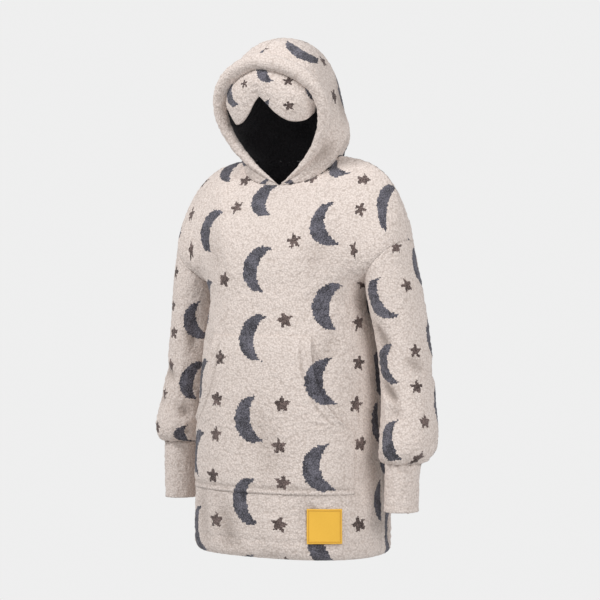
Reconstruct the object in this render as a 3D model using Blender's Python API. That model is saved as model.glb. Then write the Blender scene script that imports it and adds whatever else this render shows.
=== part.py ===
"""An oversized hooded blanket top of thick feather-yarn knit, filled out as if worn.

Metres, +Z up, the front faces -Y and the wearer's left is +X. The origin is where the wearer's
shoulders and neck carry it. Run it with: blender --background --python part.py
"""
import math

import bmesh
import bpy
import numpy as np
from mathutils import Vector

# Colours
CREAM = (0.62, 0.54, 0.49)
AMBER = (0.78, 0.47, 0.07)

# Cloth and seams
WALL = 0.004
HEM_WALL = 0.008
HEM_DEPTH = 0.040
CUFF_WALL = 0.006
SEAM_HALF_GAP = 0.0002
LAID_ON_LIFT = 0.0011
SHARP_EDGE = math.radians(60)

# Counts of grid cells
NECK_CELLS = 7
SHOULDER_CELLS = 6
ARMHOLE_CELLS = 11
HOOD_CELLS = 2 * NECK_CELLS
RING_CELLS = 2 * ARMHOLE_CELLS

# Body
UNDERARM_Z = -0.285
NECK_SHARE = 0.36
SQUARENESS = 2.4
NECK_HALF_WIDTH = 0.116
NECK_FRONT = (-0.060, -0.065)
NECK_BACK = (0.100, 0.000)
NECK_SQUARENESS = 0.9
ARMHOLE_DEPTH = 0.075
NECK_POINT_SPREAD = 0.07

# Heights, half width, and reach of front and back, from the hem up to the underarm
TORSO_Z = [-0.880, -0.850, -0.770, -0.680, -0.590, -0.500, -0.420, -0.360, -0.315, UNDERARM_Z]
TORSO_HALF_WIDTH = [0.224, 0.225, 0.223, 0.220, 0.216, 0.211, 0.203, 0.193, 0.187, 0.196]
TORSO_FRONT = [0.168, 0.171, 0.173, 0.171, 0.168, 0.164, 0.159, 0.154, 0.150, 0.147]
TORSO_BACK = [0.163, 0.166, 0.166, 0.162, 0.157, 0.150, 0.144, 0.140, 0.138, 0.136]

# Heights of the body's rows of vertices; the close pair is the top of the turned-up hem
BODY_ROW_Z = [
    -0.880, -0.842, -0.838, -0.780, -0.710, -0.640, -0.570, -0.500, -0.430, -0.370, -0.320, UNDERARM_Z,
]

# The shoulder seam from the neck to the top of the armhole
SHOULDER_X = [NECK_HALF_WIDTH, 0.148, 0.188, 0.228, 0.260, 0.280, 0.290]
SHOULDER_Z = [0.0, -0.005, -0.016, -0.040, -0.080, -0.132, -0.190]

# Sleeve sections, from the armhole to the wrist
SLEEVE_Z = [-0.2375, -0.300, -0.370, -0.440, -0.510, -0.570, -0.615, -0.645, -0.664, -0.672]
SLEEVE_X = [0.2430, 0.2525, 0.2620, 0.2710, 0.2800, 0.2870, 0.2905, 0.2920, 0.2920, 0.2915]
SLEEVE_HALF_WIDTH = [0.0470, 0.0515, 0.0525, 0.0530, 0.0535, 0.0560, 0.0585, 0.0570, 0.0480, 0.0375]
SLEEVE_RISE = [0.0475, 0.032, 0.014, 0.004, 0.0, 0.0, 0.0, 0.0, 0.0, 0.0]
SLEEVE_HALF_DEPTH = [ARMHOLE_DEPTH, 0.074, 0.071, 0.068, 0.067, 0.068, 0.070, 0.067, 0.056, 0.0425]
SLEEVE_FORWARD = [0.0, 0.003, 0.007, 0.008, 0.006, 0.0, -0.006, -0.010, -0.012, -0.013]
SLEEVE_ROWS = 15
LEFT_ARM_FORWARD = 0.015
LEFT_ARM_OUT = 0.009
RIGHT_SLEEVE_LIFT = 0.026
CUFF_END_Z = -0.775
CUFF_HALF_WIDTH = 0.0360
CUFF_HALF_DEPTH = 0.0410
CUFF_FORWARD = -0.017
CUFF_ROWS = 3
CUFF_LEAN = 0.001
GATHER_WAVES = 5
GATHER_HEIGHT = 0.003

# Hood: arches from the front neckline to the centre seam, as four control points each
HOOD_AT = [0.0, 0.22, 0.45, 0.72, 0.88, 1.0]
HOOD_SIDE_X = [0.165, 0.173, 0.170, 0.164, 0.152, NECK_HALF_WIDTH]
HOOD_SIDE_Y = [-0.055, -0.050, -0.045, -0.030, -0.004, 0.040]
HOOD_SIDE_Z = [0.026, 0.033, 0.046, 0.062, 0.072, 0.050]
HOOD_TOP_X = [0.185, 0.142, 0.114, 0.108, 0.110, 0.070]
HOOD_TOP_Y = [-0.120, -0.085, 0.030, 0.122, 0.115, NECK_BACK[0]]
HOOD_BROW_DROP = 0.022
HOOD_SEAM_Y = [-0.152, -0.085, 0.035, 0.116, 0.108, NECK_BACK[0]]
HOOD_SEAM_Z = [0.200, 0.255, 0.256, 0.150, 0.070, NECK_BACK[1]]
HOOD_JOINS_NECK = 0.92
HOOD_MIDDLE = Vector((0.0, -0.02, 0.11))

# Rolled edge of the hood, thin at the throat and full over the brow
ROLL_AT = [0.0, 0.08, 0.2, 0.4, 0.7, 1.0]
ROLL_RADIUS = [0.0, 0.0045, 0.0095, 0.0135, 0.0165, 0.0180]
ROLL_START = 0.060
ROLL_SIDES = 10
ROLL_GAP = 0.0007
PANEL_START_STEP = 0.0004
PANEL_START_MOST = 0.2

# Eye mask sewn under the brow: its lower edge, from the middle outwards
MASK_AT = [0.0, 0.14, 0.34, 0.58, 0.80, 1.0]
MASK_EDGE_X = [0.0, 0.014, 0.036, 0.064, 0.090, 0.1045]
MASK_EDGE_Y = [-0.146, -0.144, -0.136, -0.121, -0.100, -0.082]
MASK_EDGE_Z = [0.124, 0.110, 0.086, 0.069, 0.072, 0.090]
MASK_SIDE_AT = 0.56
MASK_WALL = 0.007
MASK_BULGE = 0.012
MASK_ROWS = 5
MASK_HALF_COLUMNS = 12

# Pocket, as heights and half widths measured round the cloth
POCKET_OPENING_Z = -0.600
POCKET_TOP_Z = -0.398
POCKET_HALF_WIDTH = 0.232
POCKET_TOP_HALF_WIDTH = 0.128
POCKET_LIFT = 0.004
POCKET_CURVE = (2.2, 1.6)
POCKET_ROW_Z = [
    -0.738, -0.710, -0.675, -0.640, POCKET_OPENING_Z,
    -0.592, -0.580, -0.560, -0.530, -0.490, -0.440, POCKET_TOP_Z,
]

# Label
LABEL_CENTRE = (0.164, -0.805)
LABEL_SIZE = (0.076, 0.075)
LABEL_WALL = 0.0012
LABEL_CLEAR = 0.004

# Soft folds on the body: share of the way round, height, and half sizes, depth and lean
FOLD_AT = [0.80, 0.62, 0.90, 0.45, 0.30]
FOLD_Z = [-0.270, -0.330, -0.560, -0.800, -0.820]
FOLD_WIDTH = [0.085, 0.050, 0.055, 0.060, 0.060]
FOLD_LENGTH = [0.080, 0.060, 0.100, 0.070, 0.060]
FOLD_DEPTH = [0.010, 0.004, 0.004, 0.005, -0.004]
FOLD_LEAN = [0.6, 1.0, 0.1, 0.1, -0.1]
FOLDS_END = (0.86, 0.98)


def through(at, knots, values):
    """Smooth values through table rows, with slopes taken from each row's neighbours."""
    knots = np.asarray(knots, float)
    values = np.asarray(values, float)
    slopes = np.gradient(values, knots)
    row = np.clip(np.searchsorted(knots, at) - 1, 0, len(knots) - 2)
    span = knots[row + 1] - knots[row]
    s = np.clip((at - knots[row]) / span, 0.0, 1.0)
    rise = (values[row] * (1 + 2 * s) + slopes[row] * span * s) * (1 - s) ** 2
    return rise + (values[row + 1] * (3 - 2 * s) - slopes[row + 1] * span * (1 - s)) * s**2


def smooth_step(x):
    x = np.clip(x, 0.0, 1.0)
    return x * x * (3 - 2 * x)


def round_the_torso(share, z, side):
    """Point at a share of the way from centre line to side seam; side is -1 front, 1 back."""
    width = through(z, TORSO_Z, TORSO_HALF_WIDTH)
    depth = through(z, TORSO_Z, TORSO_FRONT if side < 0 else TORSO_BACK)
    angle = np.linspace(0, math.pi / 2, 181)
    x = width * np.sin(angle) ** (2 / SQUARENESS)
    y = depth * np.cos(angle) ** (2 / SQUARENESS)
    length = np.concatenate([[0], np.cumsum(np.hypot(np.diff(x), np.diff(y)))])
    share = np.abs(share)
    return (
        np.interp(share * length[-1], length, x),
        side * np.interp(share * length[-1], length, y),
        length[-1],
    )


def top_edge(share, side):
    """The neckline, then the shoulder seam, at a share of the way from the centre line."""
    turn = np.clip(share / NECK_SHARE, 0, 1) * math.pi / 2
    far, high = NECK_FRONT if side < 0 else NECK_BACK
    neck_x = NECK_HALF_WIDTH * np.sin(turn) ** NECK_SQUARENESS
    drop = np.abs(np.cos(turn)) ** NECK_SQUARENESS
    along = np.clip((share - NECK_SHARE) / (1 - NECK_SHARE), 0, 1)
    steps = np.hypot(np.diff(SHOULDER_X), np.diff(SHOULDER_Z))
    knots = np.concatenate([[0], np.cumsum(steps)]) / np.sum(steps)
    on_neck = share <= NECK_SHARE
    x = np.where(on_neck, neck_x, through(along, knots, SHOULDER_X))
    z = np.where(on_neck, high * drop, through(along, knots, SHOULDER_Z))
    return x, np.where(on_neck, far * drop, 0.0), z


def yoke(share, rise, side):
    """Body above the underarm: rise is 0 at the underarm and 1 at the neck and shoulder seam."""
    low_x, low_y, _ = round_the_torso(share, UNDERARM_Z, side)
    top_x, top_y, top_z = top_edge(share, side)
    over = smooth_step((share - 0.5 * NECK_SHARE) / 0.65)
    if side > 0:
        over = 0.45 + 0.55 * smooth_step(share / 0.75)
    ring = smooth_step((share - 0.5) / 0.5)
    lean = (1 - rise**2.2, rise)
    arch = (math.cos(rise * math.pi / 2), math.sin(rise * math.pi / 2))
    hoop = ((1 + math.cos(rise * math.pi)) / 2, (1 - math.cos(rise * math.pi)) / 2)
    near = [(1 - over) * lean[k] + over * arch[k] for k in (0, 1)]
    left, gone = [(1 - ring) * near[k] + ring * hoop[k] for k in (0, 1)]
    x = low_x + (top_x - low_x) * ((1 - ring) * rise + ring * hoop[1])
    beside_neck = np.exp(-(((share - NECK_SHARE) / 0.12) ** 2))
    x += NECK_POINT_SPREAD * beside_neck * (1 - rise) ** 0.6 * rise**1.5
    y = top_y + (low_y - top_y) * left + side * ARMHOLE_DEPTH * math.sin(rise * math.pi) * ring
    z = UNDERARM_Z + (top_z - UNDERARM_Z) * gone
    return x, y, z


def fold_depth(share, z):
    """How far the soft folds push the cloth in at this place."""
    total = np.zeros_like(share)
    for at, height, width, length, depth, lean in zip(
        FOLD_AT, FOLD_Z, FOLD_WIDTH, FOLD_LENGTH, FOLD_DEPTH, FOLD_LEAN
    ):
        across = share - at - lean * (z - height)
        total += depth * np.exp(-((across / width) ** 2) - ((z - height) / length) ** 2)
    start, end = FOLDS_END
    return total * (1 - smooth_step((share - start) / (end - start)))


def lower_body(share, z, side):
    """Point on the body below the underarm, with its folds, and the length from centre to side."""
    x, y, length = round_the_torso(share, z, side)
    sink = 1 - fold_depth(share, z) / np.maximum(np.hypot(x, y), 0.05)
    return x * sink, y * sink, length


def mirrored(points):
    """A half row from the centre outwards made into a whole row, from the right side to the left."""
    other = [Vector((-p.x, p.y, p.z)) for p in reversed(points[1:])]
    return other + points


def body_rows(side):
    share = column_shares()
    rows = []
    for z in BODY_ROW_Z:
        x, y, _ = lower_body(share, z, side)
        rows.append(mirrored([Vector((a, b, z)) for a, b in zip(x, y)]))
    for step in range(1, ARMHOLE_CELLS + 1):
        x, y, z = yoke(share, step / ARMHOLE_CELLS, side)
        push = fold_depth(share, z) * (1 - step / ARMHOLE_CELLS) * side
        rows.append(mirrored([Vector(p) for p in zip(x, y - push, z)]))
    return rows


def armhole(turn):
    """The ring where sleeve and body meet: turn 0 at the shoulder, half a turn at the underarm."""
    return Vector((
        SLEEVE_X[0] + SLEEVE_HALF_WIDTH[0] * math.cos(turn),
        -ARMHOLE_DEPTH * math.sin(turn),
        SLEEVE_Z[0] + SLEEVE_RISE[0] * math.cos(turn),
    ))


def sleeve_rows(hand):
    """Closed rings from the armhole to the cuff; hand is 1 for the left arm, -1 for the right."""
    tables = (SLEEVE_X, SLEEVE_Z, SLEEVE_HALF_WIDTH, SLEEVE_RISE, SLEEVE_HALF_DEPTH, SLEEVE_FORWARD)
    turns = [2 * math.pi * k / RING_CELLS for k in range(RING_CELLS)]
    first = [armhole(turn) for turn in turns]
    rows = [[Vector((hand * p.x, p.y, p.z)) for p in first]]
    knots = np.linspace(0, 1, len(SLEEVE_Z))
    for step in range(1, SLEEVE_ROWS + 1):
        at = step / SLEEVE_ROWS
        centre_x, centre_z, wide, rise, deep, forward = (
            float(through(np.array(at), knots, table)) for table in tables
        )
        forward -= (LEFT_ARM_FORWARD if hand > 0 else 0.0) * float(smooth_step(at))
        middle = float(smooth_step(at / 0.35) * smooth_step((1 - at) / 0.3))
        out = LEFT_ARM_OUT * middle if hand > 0 else 0.0
        lift = RIGHT_SLEEVE_LIFT * float(smooth_step(at)) if hand < 0 else 0.0
        near_wrist = float(smooth_step((at - 0.62) / 0.25)) if step < SLEEVE_ROWS else 0.0
        ring = []
        for turn in turns:
            gather = GATHER_HEIGHT * near_wrist * math.sin(GATHER_WAVES * turn + hand)
            ring.append(Vector((
                hand * (centre_x + out + (wide + out / 3 + gather) * math.cos(turn)),
                forward - (deep + gather) * math.sin(turn),
                centre_z + lift + rise * math.cos(turn),
            )))
        rows.append(ring)
    return rows


def cuff_rows(hand):
    rows = [sleeve_rows(hand)[-1]]
    turns = [2 * math.pi * k / RING_CELLS for k in range(RING_CELLS)]
    top = SLEEVE_Z[-1] + (RIGHT_SLEEVE_LIFT if hand < 0 else 0.0)
    forward = CUFF_FORWARD - (LEFT_ARM_FORWARD if hand > 0 else 0.0)
    for step in range(1, CUFF_ROWS + 1):
        x = SLEEVE_X[-1] - CUFF_LEAN * step
        z = top + (CUFF_END_Z - top) * step / CUFF_ROWS
        rows.append([
            Vector((
                hand * (x + CUFF_HALF_WIDTH * math.cos(turn)),
                forward - CUFF_HALF_DEPTH * math.sin(turn),
                z,
            ))
            for turn in turns
        ])
    return rows


def front_neck(share):
    """Point on the straight edges of the body's front neckline, from the throat to the shoulder."""
    knots = np.linspace(0, 1, NECK_CELLS + 1)
    x, y, z = top_edge(knots * NECK_SHARE, -1)
    return Vector([float(np.interp(share, knots, table)) for table in (x, y, z)])


def back_neck(share):
    """Point on the straight edges of the back neckline, from the shoulder to the centre back."""
    knots = np.linspace(0, 1, NECK_CELLS + 1)
    x, y, z = top_edge((1 - knots) * NECK_SHARE, 1)
    return Vector([float(np.interp(share, knots, table)) for table in (x, y, z)])


def hood_point(round_at, up):
    """Half of the hood: round_at runs from face opening to back neck, up from neckline to crown."""
    at = np.array(float(round_at))
    foot = front_neck(float(round_at))
    side = Vector([float(through(at, HOOD_AT, t)) for t in (HOOD_SIDE_X, HOOD_SIDE_Y, HOOD_SIDE_Z)])
    seam_y, seam_z, top_x, top_y = (
        float(through(at, HOOD_AT, t)) for t in (HOOD_SEAM_Y, HOOD_SEAM_Z, HOOD_TOP_X, HOOD_TOP_Y)
    )
    top = Vector((top_x, top_y, seam_z - HOOD_BROW_DROP * (1 - smooth_step(round_at / 0.3))))
    seam = Vector((0, seam_y, seam_z))
    t = float(up)
    low = foot * (1 - t) ** 3 + side * (3 * t * (1 - t) ** 2)
    high = top * (3 * t * t * (1 - t)) + seam * t**3
    last = float(smooth_step((round_at - HOOD_JOINS_NECK) / (1 - HOOD_JOINS_NECK)))
    return (low + high).lerp(back_neck(t) + (foot - back_neck(0)) * (1 - t) ** 3, last)


def roll_radius(up):
    return float(through(np.array(float(up)), ROLL_AT, ROLL_RADIUS))


def roll_line(up):
    """Centre of the rolled edge: up runs from the right of the throat over the brow to the left."""
    hand, t = (-1, up) if up <= 1 else (1, 2 - up)
    p = hood_point(0, t)
    return Vector((hand * p.x, p.y, p.z))


def roll_rings():
    """Centre and radius of each ring of the roll, level with the hood's own rows."""
    ups = [ROLL_START] + [k / HOOD_CELLS for k in range(1, 2 * HOOD_CELLS)] + [2 - ROLL_START]
    return [(roll_line(up), roll_radius(min(up, 2 - up))) for up in ups]


def off_the_roll(point, rings):
    """Distance from a point to the roll's surface."""
    nearest = 1.0
    for (a, near), (b, far) in zip(rings, rings[1:]):
        along = min(max((point - a).dot(b - a) / (b - a).length_squared, 0.0), 1.0)
        gap = (point - a.lerp(b, along)).length - (near + (far - near) * along)
        nearest = min(nearest, gap)
    return nearest


def both_faces(start, up):
    """The outer and inner point of the right hood panel, where it starts beside the roll."""
    p = hood_point(start, up)
    across = hood_point(start + 0.004, up) - p
    along = hood_point(start, min(up + 0.01, 1.0)) - hood_point(start, max(up - 0.01, 0.0))
    square = across.cross(along).normalized() * WALL
    inner = min(p + square, p - square, key=lambda q: (q - HOOD_MIDDLE).length)
    return [Vector((-q.x, q.y, q.z)) for q in (p, inner)]


def hood_starts():
    """How far round each row of the hood panel starts, so that it just clears the rolled edge."""
    rings = roll_rings()
    ups = [j / HOOD_CELLS for j in range(HOOD_CELLS + 1)]
    starts = [0.0] * len(ups)
    moved = True
    while moved:
        moved = False
        faces = [both_faces(start, up) for start, up in zip(starts, ups)]
        for j in range(1, len(ups)):
            for s in (0.2, 0.4, 0.6, 0.8, 1.0):
                edge = [low.lerp(high, s) for low, high in zip(faces[j - 1], faces[j])]
                nearest = min(off_the_roll(point, rings) for point in edge)
                row = max(j if s > 0.5 else j - 1, 1)
                if nearest < ROLL_GAP and starts[row] < PANEL_START_MOST:
                    starts[row] += PANEL_START_STEP
                    moved = True
    return starts


def hood_rows(hand, starts):
    rows = []
    for j, start in enumerate(starts):
        up = j / HOOD_CELLS
        shares = [i / HOOD_CELLS for i in range(HOOD_CELLS + 1)]
        row = [hood_point(start + (1 - start) * share, up) for share in shares]
        row[-1] = back_neck(up)
        rows.append([Vector((hand * p.x, p.y, p.z)) for p in row])
    rows[-1][-1] = back_neck(1.0)
    for p in rows[-1]:
        p.x = 0.0
    return rows


def add_grid(bm, rows, tag, closed=False):
    """Vertices and quads of a grid of points, with the panel's number on each face."""
    made = [[bm.verts.new(p) for p in row] for row in rows]
    count = len(rows[0])
    for low, high in zip(made, made[1:]):
        for k in range(count if closed else count - 1):
            n = (k + 1) % count
            face = bm.faces.new((low[k], low[n], high[n], high[k]))
            face.material_index = tag


def cloth_skin(panels):
    """One surface of all the panels sewn together, so that neighbours share their edges' directions."""
    bm = bmesh.new()
    for tag, (_, rows, closed, _) in enumerate(panels):
        add_grid(bm, rows, tag, closed)
    neck = [
        e for e in bm.edges
        if e.is_boundary and all(on_neck_edge(v.co) for v in e.verts)
    ]
    bmesh.ops.subdivide_edges(bm, edges=neck, cuts=1)
    bmesh.ops.remove_doubles(bm, verts=bm.verts[:], dist=2e-5)
    bmesh.ops.recalc_face_normals(bm, faces=bm.faces[:])
    bm.normal_update()
    highest = max(bm.faces, key=lambda f: f.calc_center_median().z)
    if highest.normal.z < 0:
        bmesh.ops.reverse_faces(bm, faces=bm.faces[:])
        bm.normal_update()
    return bm


def on_neck_edge(point):
    """True for the body's own corners on the neckline, which are twice as far apart as the hood's."""
    p = Vector((abs(point.x), point.y, point.z))
    corners = [c(k / NECK_CELLS) for c in (front_neck, back_neck) for k in range(NECK_CELLS + 1)]
    return min((p - q).length for q in corners) < 1e-6


def wall_at(point, panel_wall):
    """The body's turned-up hem is two layers; elsewhere a panel keeps its own wall."""
    if point.z < TORSO_Z[0] + HEM_DEPTH and abs(point.x) < 0.24:
        return HEM_WALL
    return panel_wall


def cut_panel(skin, tag, name, wall, colour):
    """Takes one panel out of the skin, draws it in a hair from its seams and gives it a wall."""
    bm = skin.copy()
    inward = bm.verts.layers.float_vector.new("inward")
    moves = []
    for v in bm.verts:
        v[inward] = -v.normal
        own = [f.calc_center_median() for f in v.link_faces if f.material_index == tag]
        others = [f.calc_center_median() for f in v.link_faces if f.material_index != tag]
        if own and others:
            away = sum(own, Vector()) / len(own) - sum(others, Vector()) / len(others)
            away -= v.normal * away.dot(v.normal)
            moves.append((v, away.normalized() * SEAM_HALF_GAP))
    for v, move in moves:
        v.co += move
    bmesh.ops.delete(bm, geom=[f for f in bm.faces if f.material_index != tag], context="FACES")
    made = bmesh.ops.extrude_face_region(bm, geom=bm.faces[:], use_keep_orig=True)
    for v in made["geom"]:
        if isinstance(v, bmesh.types.BMVert):
            v.co += v[inward].normalized() * wall_at(v.co, wall)
    return add_object(name, bm, colour)


def finish_shell(bm):
    bmesh.ops.recalc_face_normals(bm, faces=bm.faces[:])
    bmesh.ops.triangulate(bm, faces=bm.faces[:])
    for f in bm.faces:
        f.smooth = True
        f.material_index = 0


def add_object(name, bm, colour):
    finish_shell(bm)
    mesh = bpy.data.meshes.new(name)
    bm.to_mesh(mesh)
    bm.free()
    mesh.set_sharp_from_angle(angle=SHARP_EDGE)
    obj = bpy.data.objects.new(name, mesh)
    bpy.context.scene.collection.objects.link(obj)
    mesh.materials.append(cloth_material(name, colour))
    return obj


def cloth_material(name, colour, roughness=0.95):
    material = bpy.data.materials.new(name)
    material.use_nodes = True
    shader = material.node_tree.nodes["Principled BSDF"]
    shader.inputs["Base Color"].default_value = (*colour, 1)
    shader.inputs["Roughness"].default_value = roughness
    shader.inputs["Metallic"].default_value = 0.0
    return material


def give_wall(bm, wall, outside):
    """Gives a sheet its wall, in front of its points or behind them."""
    made = bmesh.ops.extrude_face_region(bm, geom=bm.faces[:], use_keep_orig=True)
    way = bm.verts.layers.float_vector["way"]
    for v in made["geom"]:
        if isinstance(v, bmesh.types.BMVert):
            v.co += v[way].normalized() * (wall if outside else -wall)


def sheet_of(rows):
    """A sheet of cloth whose vertices remember which way the front is."""
    bm = bmesh.new()
    way = bm.verts.layers.float_vector.new("way")
    add_grid(bm, rows, 0)
    bm.normal_update()
    turn = -1 if sum(v.normal.y for v in bm.verts) > 0 else 1
    for v in bm.verts:
        v[way] = v.normal * turn
    return bm


def laid_on(name, rows, lifts, wall, colour):
    """A piece that lies on the body: its points moved out, and a wall outside them."""
    bm = sheet_of(rows)
    way = bm.verts.layers.float_vector["way"]
    for v, lift in zip(bm.verts, (value for row in lifts for value in row)):
        v.co += v[way] * lift
    give_wall(bm, wall, True)
    return add_object(name, bm, colour)


def column_shares():
    """Shares of the way round, from the centre line to the side seam, of the body's columns."""
    neck = np.linspace(0, NECK_SHARE, NECK_CELLS + 1)
    return np.concatenate([neck, np.linspace(NECK_SHARE, 1, SHOULDER_CELLS + 1)[1:]])


def front_lengths(z):
    """Length round the front from the centre line to each of its columns."""
    x, y, _ = lower_body(column_shares(), z, -1)
    return np.concatenate([[0], np.cumsum(np.hypot(np.diff(x), np.diff(y)))])


def on_front(distance, z):
    """Point on the front panel's own facets at a distance round the cloth from the centre line."""
    row = int(np.clip(np.searchsorted(BODY_ROW_Z, z) - 1, 0, len(BODY_ROW_Z) - 2))
    ends = []
    for height in (BODY_ROW_Z[row], BODY_ROW_Z[row + 1]):
        x, y, _ = lower_body(column_shares(), height, -1)
        length = front_lengths(height)
        ends.append((np.interp(abs(distance), length, x), np.interp(abs(distance), length, y)))
    mix = (z - BODY_ROW_Z[row]) / (BODY_ROW_Z[row + 1] - BODY_ROW_Z[row])
    x, y = (ends[0][k] + (ends[1][k] - ends[0][k]) * mix for k in (0, 1))
    return Vector((math.copysign(x, distance), y, z))


def pocket_half_width(z):
    if z <= POCKET_OPENING_Z:
        return POCKET_HALF_WIDTH
    rise = (z - POCKET_OPENING_Z) / (POCKET_TOP_Z - POCKET_OPENING_Z)
    up_power, in_power = POCKET_CURVE
    drawn_in = (1 - (1 - rise) ** up_power) ** (1 / in_power)
    return POCKET_HALF_WIDTH - (POCKET_HALF_WIDTH - POCKET_TOP_HALF_WIDTH) * drawn_in


def add_pocket(colour):
    rows, lifts = [], []
    widest = front_lengths(POCKET_OPENING_Z)
    count = int(np.sum(widest < 0.97 * POCKET_HALF_WIDTH))
    for z in POCKET_ROW_Z:
        half = pocket_half_width(z)
        outer = list(front_lengths(z)[1:count] * half / POCKET_HALF_WIDTH) + [half]
        spots = [-d for d in reversed(outer)] + [0.0] + outer
        rows.append([on_front(d, z) for d in spots])
        open_here = POCKET_OPENING_Z < z < POCKET_TOP_Z
        lift = POCKET_LIFT if open_here else 0.0
        lifts.append([LAID_ON_LIFT + lift * (abs(d) / half) ** 4 for d in spots])
    return laid_on("pocket", rows, lifts, WALL, colour)


def add_label(colour):
    across, high = LABEL_CENTRE
    wide, tall = (size / 2 for size in LABEL_SIZE)
    lengths = front_lengths(high)
    inside = [d for d in lengths if abs(d - across) < wide - LABEL_CLEAR]
    spots = [across - wide] + inside + [across + wide]
    levels = [z for z in BODY_ROW_Z if abs(z - high) < tall - LABEL_CLEAR]
    rows = [[on_front(d, z) for d in spots] for z in [high - tall] + levels + [high + tall]]
    return laid_on("label", rows, [[LAID_ON_LIFT] * len(spots) for _ in rows], LABEL_WALL, colour)


def add_roll(colour):
    bm = bmesh.new()
    line = roll_rings()
    rings = []
    for k, (centre, radius) in enumerate(line):
        ahead = (line[min(k + 1, len(line) - 1)][0] - line[max(k - 1, 0)][0]).normalized()
        out = (centre - HOOD_MIDDLE).cross(ahead).cross(ahead).normalized()
        side = ahead.cross(out)
        rings.append([
            bm.verts.new(centre + (out * math.cos(a) + side * math.sin(a)) * radius)
            for a in (2 * math.pi * n / ROLL_SIDES for n in range(ROLL_SIDES))
        ])
    for low, high in zip(rings, rings[1:]):
        for n in range(ROLL_SIDES):
            bm.faces.new((low[n], low[(n + 1) % ROLL_SIDES], high[(n + 1) % ROLL_SIDES], high[n]))
    bm.faces.new(rings[0])
    bm.faces.new(rings[-1])
    return add_object("hood_roll", bm, colour)


def mask_top(across, rings):
    """Upper edge of the mask, just inside the rolled edge."""
    t = 1 - (1 - MASK_SIDE_AT) * abs(across)
    p = roll_line(t if across < 0 else 2 - t)
    inward = (Vector((0, p.y, HOOD_MIDDLE.z)) - p).normalized()
    behind = Vector((0, MASK_WALL, 0))
    while min(off_the_roll(q, rings) for q in (p, p + behind)) < ROLL_GAP:
        p += inward * ROLL_GAP / 2
    return p


def mask_bottom(across):
    at = np.array(abs(float(across)))
    x, y, z = (float(through(at, MASK_AT, t)) for t in (MASK_EDGE_X, MASK_EDGE_Y, MASK_EDGE_Z))
    return Vector((math.copysign(x, across), y, z))


def add_mask(colour):
    rows = []
    rings = roll_rings()
    for j in range(MASK_ROWS + 1):
        down = j / MASK_ROWS
        row = []
        for i in range(2 * MASK_HALF_COLUMNS + 1):
            across = i / MASK_HALF_COLUMNS - 1
            p = mask_top(across, rings).lerp(mask_bottom(across), down)
            p.y -= MASK_BULGE * math.sin(math.pi * down) * (1 - across**4)
            row.append(p)
        rows.append(row)
    bm = sheet_of(rows)
    give_wall(bm, MASK_WALL, False)
    return add_object("eye_mask", bm, colour)


def build():
    for obj in list(bpy.data.objects):
        bpy.data.objects.remove(obj)
    starts = hood_starts()
    panels = [
        ("front_panel", body_rows(-1), False, WALL),
        ("back_panel", body_rows(1), False, WALL),
        ("sleeve_left", sleeve_rows(1), True, WALL),
        ("sleeve_right", sleeve_rows(-1), True, WALL),
        ("cuff_left", cuff_rows(1), True, CUFF_WALL),
        ("cuff_right", cuff_rows(-1), True, CUFF_WALL),
        ("hood_left", hood_rows(1, starts), False, WALL),
        ("hood_right", hood_rows(-1, starts), False, WALL),
    ]
    skin = cloth_skin(panels)
    for tag, (name, _, _, wall) in enumerate(panels):
        cut_panel(skin, tag, name, wall, CREAM)
    skin.free()
    add_roll(CREAM)
    add_mask(CREAM)
    add_pocket(CREAM)
    add_label(AMBER)


build()
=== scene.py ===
# %% [markdown]
# # A hooded blanket top in Blender
# This lesson dresses a plain solid model of a big hooded top with soft, fleecy cloth. The solid
# model already knows every size, so the first step loads it as a fixed frame. Each cloth piece
# made later stands for one solid of that frame and hides it.

# %% Load the frame
import math

import bmesh
import bpy
import numpy as np
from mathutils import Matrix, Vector, noise


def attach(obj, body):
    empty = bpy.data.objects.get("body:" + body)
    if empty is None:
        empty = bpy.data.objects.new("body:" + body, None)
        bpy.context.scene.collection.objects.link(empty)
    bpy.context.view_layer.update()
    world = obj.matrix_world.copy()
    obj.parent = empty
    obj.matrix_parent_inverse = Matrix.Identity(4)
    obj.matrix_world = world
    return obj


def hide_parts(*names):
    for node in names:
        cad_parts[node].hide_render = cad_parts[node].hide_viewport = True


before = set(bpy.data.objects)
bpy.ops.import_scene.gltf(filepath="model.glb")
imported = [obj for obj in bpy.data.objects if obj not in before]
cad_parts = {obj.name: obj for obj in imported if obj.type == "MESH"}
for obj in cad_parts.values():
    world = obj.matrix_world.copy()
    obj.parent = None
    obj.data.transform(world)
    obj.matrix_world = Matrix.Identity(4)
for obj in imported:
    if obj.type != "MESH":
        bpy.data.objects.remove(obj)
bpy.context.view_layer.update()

print("nodes:", sorted(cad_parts))

# %% [markdown]
# ## Sizes that shape the body
# A garment is easiest to describe as sections: how wide and how deep it is at a few heights. The
# tables hold those sections in metres, in the same frame as the solids: +Z is up, the front faces
# -Y and the wearer's left is +X. Smooth curves through the rows give every height between.

# %% Sections of the body
UNDERARM_Z = -0.285
NECK_SHARE = 0.36
SQUARENESS = 2.4
NECK_HALF_WIDTH = 0.116
NECK_FRONT = (-0.060, -0.065)
NECK_BACK = (0.100, 0.000)
NECK_SQUARENESS = 0.9
ARMHOLE_DEPTH = 0.075

TORSO_Z = [-0.880, -0.850, -0.770, -0.680, -0.590, -0.500, -0.420, -0.360, -0.315, UNDERARM_Z]
TORSO_HALF_WIDTH = [0.224, 0.225, 0.223, 0.220, 0.216, 0.211, 0.203, 0.193, 0.187, 0.196]
TORSO_FRONT = [0.168, 0.171, 0.173, 0.171, 0.168, 0.164, 0.159, 0.154, 0.150, 0.147]
TORSO_BACK = [0.163, 0.166, 0.166, 0.162, 0.157, 0.150, 0.144, 0.140, 0.138, 0.136]

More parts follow.
